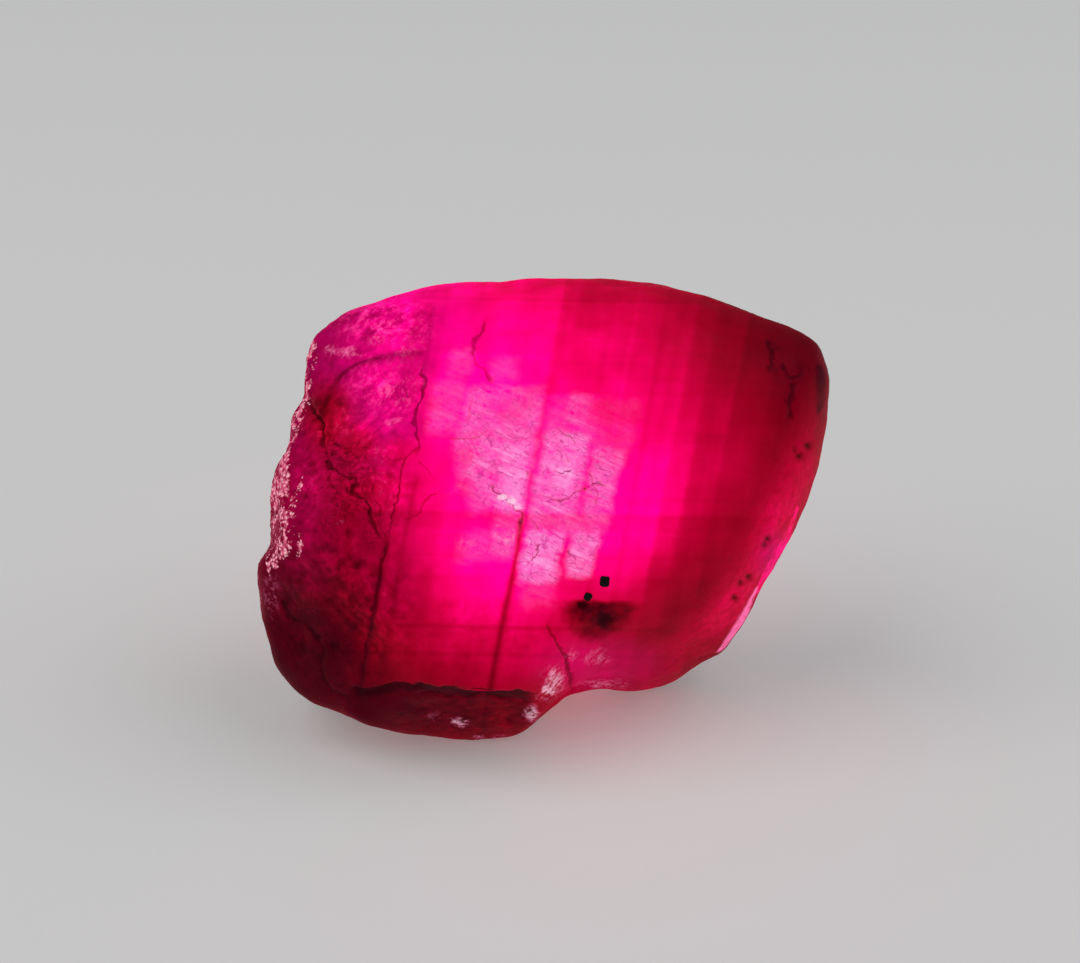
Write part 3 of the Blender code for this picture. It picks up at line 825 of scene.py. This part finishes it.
class Ruby(Nodes):
    """The ruby, from the numbers stored on the skin and some noises that its looks share."""

    def __init__(self):
        super().__init__("ruby")
        place = self.add("ShaderNodeTexCoord").outputs["Object"]
        # the bevel's number is its painted light
        self.s, self.t, self.bevel = self.field("bands")
        self.light, self.smudge, self.tint = self.field("light")
        self.frost, self.fracture, self.crust = self.field("broken")
        self.mottled, self.net, self.painted_sliver_light = self.field("rough")

        warp = self.noise(place, WARP_SCALE, 1.0).outputs["Color"]
        self.warps = self.add("ShaderNodeSeparateColor", {0: warp}).outputs[:]
        self.jitter = self.less(self.warps[0], 0.5)
        self.veins = [self.vein(value, 0.5, 0.025) for value in self.warps]
        self.cloud = self.noise(place, CLOUD_SCALE).outputs[0]
        self.fine, shift = self.noise(place, FINE_SCALE).outputs[:2]
        self.jagged = self.less(self.fine, 0.5)
        shifted = self.add("ShaderNodeVectorMath", {0: shift, 1: (GRANULE_SHIFT,) * 3, 2: place},
                           operation="MULTIPLY_ADD").outputs[0]
        granules = self.add("ShaderNodeTexVoronoi", {"Vector": shifted, "Scale": GRANULE_SCALE})
        self.granules = granules.outputs["Distance"]

    def banded(self, light):
        """The painted glow, dimmed by the growth bands, with fine streaks along them and the painted light
        of the right bevel added.
        """
        for value, (table, low, high) in zip((self.s, self.t), BAND_STOPS):
            blurred = self.sum(value, self.times(self.jitter, 2.0))
            stops = [((at - low) / (high - low), share) for at, share in table]
            light = self.times(light, self.ramp(self.span(blurred, low, high), stops))
        light = self.times(light, self.span(self.streaks(self.s, 0.055, 0.0), 0.3, 0.7, 0.97, 1.03))
        light = self.times(light, self.span(self.streaks(self.t, 0.10, 300.0), 0.3, 0.7, 0.98, 1.015))
        return self.sum(light, self.times(self.bevel, self.span(self.fine, 0.35, 0.65, 0.85, 1.12)))

    def clouded(self, light):
        """The light, with clouds everywhere and a coarser mottle on the rough left."""
        light = self.times(light, self.span(self.cloud, 0.3, 0.7, 0.91, 1.09))
        patchy = self.sum(self.times(self.jagged, 1.7), self.times(self.jitter, 1.4))
        return self.times(light, self.sum(1.0, self.times(self.mottled, patchy)))

    def crack_line(self, name):
        """How dark one set of cracks is, with lines that are jagged, patchy and uneven in width."""
        beside, strength, width = self.field(name)
        gap = self.absolute(self.sum(beside, self.times(self.jagged, 0.4)))
        width = self.times(width, self.span(self.warps[1], 0.36, 0.62, 0.6, 1.6))
        line = self.span(self.over(gap, width), 0.2, 1.4, 1.0, 0.0, "SMOOTHSTEP")
        return self.times(line, strength, self.span(self.cloud, 0.35, 0.6, 0.5, 1.0))

    def darkness(self):
        """How dark the cracks are, and the net of veins and clumps that joins them."""
        lines = [self.crack_line(name) for name in ("cracks_1", "cracks_2", "cracks_3")]
        net = self.times(self.net, self.most(*self.veins), self.span(self.fine, 0.40, 0.56, 0.1, 0.85))
        clumps = self.span(self.sum(self.warps[0], self.times(self.jagged, 0.8)), 0.50, 0.62)
        return self.most(*lines, net, self.times(self.net, clumps, 0.7))

    def inclusion(self):
        """How dark the inclusion under the grains is, with a ragged edge."""
        ragged = self.sum(self.smudge, self.times(self.jagged, 0.45), self.times(self.jitter, 0.3))
        return self.times(self.span(ragged, 0.05, 0.95), self.span(self.smudge, 0.0, 0.25))

    def coloured(self, light, dark):
        """The ruby's colour at this light, more magenta by its tint, with pale veins."""
        colour = self.ramp(light, RUBY)
        colour = self.mix(self.times(self.tint, self.span(light, 0.1, 0.6)), colour, MAGENTA, "ADD")
        pale = self.times(self.span(self.mottled, 0.5, 0.7), self.most(*self.veins), self.without(dark))
        pale = self.times(pale, self.span(light, 0.4, 0.8), self.span(self.fine, 0.45, 0.6, 0.0, 0.13))
        return self.mix(pale, colour, FROSTED)

    def frosting(self, dark):
        """How pale the hatched frost between the planes is, and how strong the lines in it."""
        hatch_place = self.add("ShaderNodeCombineXYZ", {
            0: self.sum(self.times(self.s, 0.05), self.times(self.t, -0.07)),
            1: self.sum(self.times(self.t, 0.16), self.times(self.s, -0.05)),
            2: self.times(self.warps[1], 1.2),
        }).outputs[0]
        hatch = self.noise(hatch_place, 1.0).outputs[0]
        speckle = self.sum(self.times(self.jagged, 0.9),
                           self.times(self.less(hatch, 0.5), 1.75),
                           self.times(self.less(GRANULE_EDGE, self.granules), 0.4))
        frost = self.times(self.frost, self.span(self.cloud, 0.35, 0.65, 0.6, 1.35))
        frosty = self.sum(frost, self.times(speckle, self.span(frost, 0.0, 0.35, 0.0, 0.55)))
        frosty = self.times(self.most(frosty, 0.0), self.without(dark, 0.95))
        hairline = self.most(self.vein(hatch, 0.5, 0.035), self.vein(hatch, 0.58, 0.03),
                             self.times(self.veins[0], 0.9))
        hairline = self.times(hairline, self.span(self.fine, 0.42, 0.52), self.span(frost, 0.0, 0.3))
        cracks = self.times(dark, self.span(frost, 0.0, 0.2, 0.0, 0.8))
        lines = self.most(self.times(hairline, 0.62), cracks)
        return self.times(frosty, self.without(hairline, 0.75)), lines

    def flecked(self, colour):
        """The colour, with the bright flecks of the fractures."""
        flecks = self.sum(self.fracture, self.times(self.jagged, 2.2), self.times(self.jitter, 0.8),
                          self.less(GRANULE_EDGE, self.granules))
        flecks = self.times(self.span(flecks, 0.0, 0.95), self.fracture)
        return self.mix(flecks, colour, self.mix(self.span(self.fracture, 0.3, 0.6), FLECKED, FLARE))

    def grit(self):
        """How much pale crust shows."""
        grit = self.less(self.sum(self.crust, self.times(self.jagged, 2.0)), self.granules)
        return self.times(self.span(grit, 0.15, 0.6), self.span(self.crust, 0.0, 0.4))

    def build(self):
        """Sets the shader and returns the material."""
        dark = self.darkness()
        frosty, lines = self.frosting(dark)
        grit = self.grit()
        light = self.clouded(self.banded(self.light))
        light = self.times(light, self.without(dark, 0.8), self.without(self.inclusion(), 0.97))
        colour = self.coloured(light, dark)
        colour = self.mix(lines, colour, HAIRLINE)
        colour = self.mix(frosty, colour, FROSTED)
        colour = self.flecked(colour)
        colour = self.mix(grit, colour, self.mix(self.span(self.granules, 0.1, 0.55), CRUSTED, CRUST_SHADE))
        # painted light on the thin facet along the lower right edge
        edge = self.times(self.painted_sliver_light, self.span(self.fine, 0.35, 0.55, 0.5, 0.95))
        colour = self.mix(edge, colour, EDGE_LIGHT)

        polish = self.span(self.cloud, 0.3, 0.7, 0.26, 0.42)
        rough = self.most(polish, self.times(grit, 0.7), self.times(frosty, 0.5),
                          self.times(self.mottled, 0.42))
        relief = self.times(self.fine, self.span(self.mottled, 0.0, 1.0, 0.5, 1.4))
        bump = self.add("ShaderNodeBump", {"Height": relief, "Strength": 0.5, "Distance": BUMP_HEIGHT})
        # the base colour and the emission both carry the painted glow, as if lit from beneath
        self.shade(Base_Color=self.mix(1.0, colour, MATT_SHARE, "MULTIPLY"), Emission_Color=colour,
                   Emission_Strength=GLOW, IOR=CORUNDUM_IOR, Transmission_Weight=TRANSMISSION,
                   Specular_IOR_Level=0.0, Specular_Tint=SHINE_TINT,
                   Roughness=rough, Normal=bump.outputs[0])
        volume = self.add("ShaderNodeVolumeAbsorption", {"Color": LET_BY, "Density": ABSORPTION})
        self.put(volume.outputs[0], self.out.inputs["Volume"])
        self.material.cycles.emission_sampling = "NONE"
        return self.material


def grain_material():
    nodes = Nodes("black_mineral")
    place = nodes.add("ShaderNodeTexCoord").outputs["Object"]
    spots = nodes.noise(place, 4000.0, 4.0).outputs[0]
    colour = nodes.ramp(spots, [(0.3, (0.002, 0.001, 0.001)), (0.7, (0.010, 0.004, 0.005))])
    nodes.shade(Base_Color=colour, Roughness=nodes.span(spots, 0.3, 0.7, 0.4, 0.6), Specular_IOR_Level=0.12)
    return nodes.material


def floor_material():
    nodes = Nodes("pale_floor")
    nodes.shade(Base_Color=(0.84, 0.835, 0.83, 1), Roughness=0.8, Specular_IOR_Level=0.2,
                Emission_Color=(1.0, 0.995, 0.99, 1), Emission_Strength=0.18)
    return nodes.material


# ---------------------------------------------------------------- stage

SKY = (0.9, 0.95, 1.0, 1)
SKY_STRENGTH = 0.15
# The soft lights: name, place, size, power, colour.
LIGHTS = [("key", (-0.70, -0.30, 0.85), 1.2, 4.0, (1.0, 0.98, 0.96)),
          ("fill", (0.75, -0.10, 0.90), 1.3, 3.3, (0.97, 0.98, 1.0))]
AIM = Vector((0, 0, 0.012))  # where they point
FLOOR_SIZE = 6


def add_light(name, place, size, power, colour):
    light = bpy.data.lights.new(name, "AREA")
    light.shape = "DISK"
    light.size = size
    light.energy = power
    light.color = colour
    lamp = bpy.data.objects.new(name, light)
    lamp.location = place
    lamp.rotation_euler = (AIM - Vector(place)).to_track_quat("-Z", "Y").to_euler()
    bpy.context.collection.objects.link(lamp)


def make_stage():
    scene = bpy.context.scene
    camera = bpy.data.objects.new("camera", bpy.data.cameras.new("camera"))
    scene.collection.objects.link(camera)
    camera.data.lens = LENS
    camera.data.sensor_width = SENSOR
    camera.data.clip_start = 0.01
    camera.location = VIEWPOINT * MM
    camera.rotation_euler = (math.pi / 2 - TILT, 0, 0)
    scene.camera = camera
    scene.view_settings.view_transform = "Standard"
    scene.cycles.use_denoising = True
    scene.cycles.caustics_refractive = False
    scene.cycles.diffuse_bounces = 1
    scene.cycles.glossy_bounces = 2
    scene.cycles.transmission_bounces = 3

    world = bpy.data.worlds.new("studio")
    world.use_nodes = True
    background = world.node_tree.nodes["Background"]
    background.inputs["Color"].default_value = SKY
    background.inputs["Strength"].default_value = SKY_STRENGTH
    scene.world = world
    for light in LIGHTS:
        add_light(*light)

    bpy.ops.mesh.primitive_plane_add(size=FLOOR_SIZE)
    floor = bpy.context.object
    floor.name = "floor"
    floor.data.materials.append(floor_material())


# ---------------------------------------------------------------- the part

def main():
    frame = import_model()
    make_stage()
    skin = make_skin(frame["nodes"]["ruby_crystal"])
    skin.data.materials.append(Ruby().build())
    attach(skin, "root")
    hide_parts("ruby_crystal")
    black = grain_material()
    for name, (x, y, radius) in GRAINS.items():
        grain = make_grain(skin, name, x, y, radius)
        grain.data.materials.append(black)
        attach(grain, "root")


main()
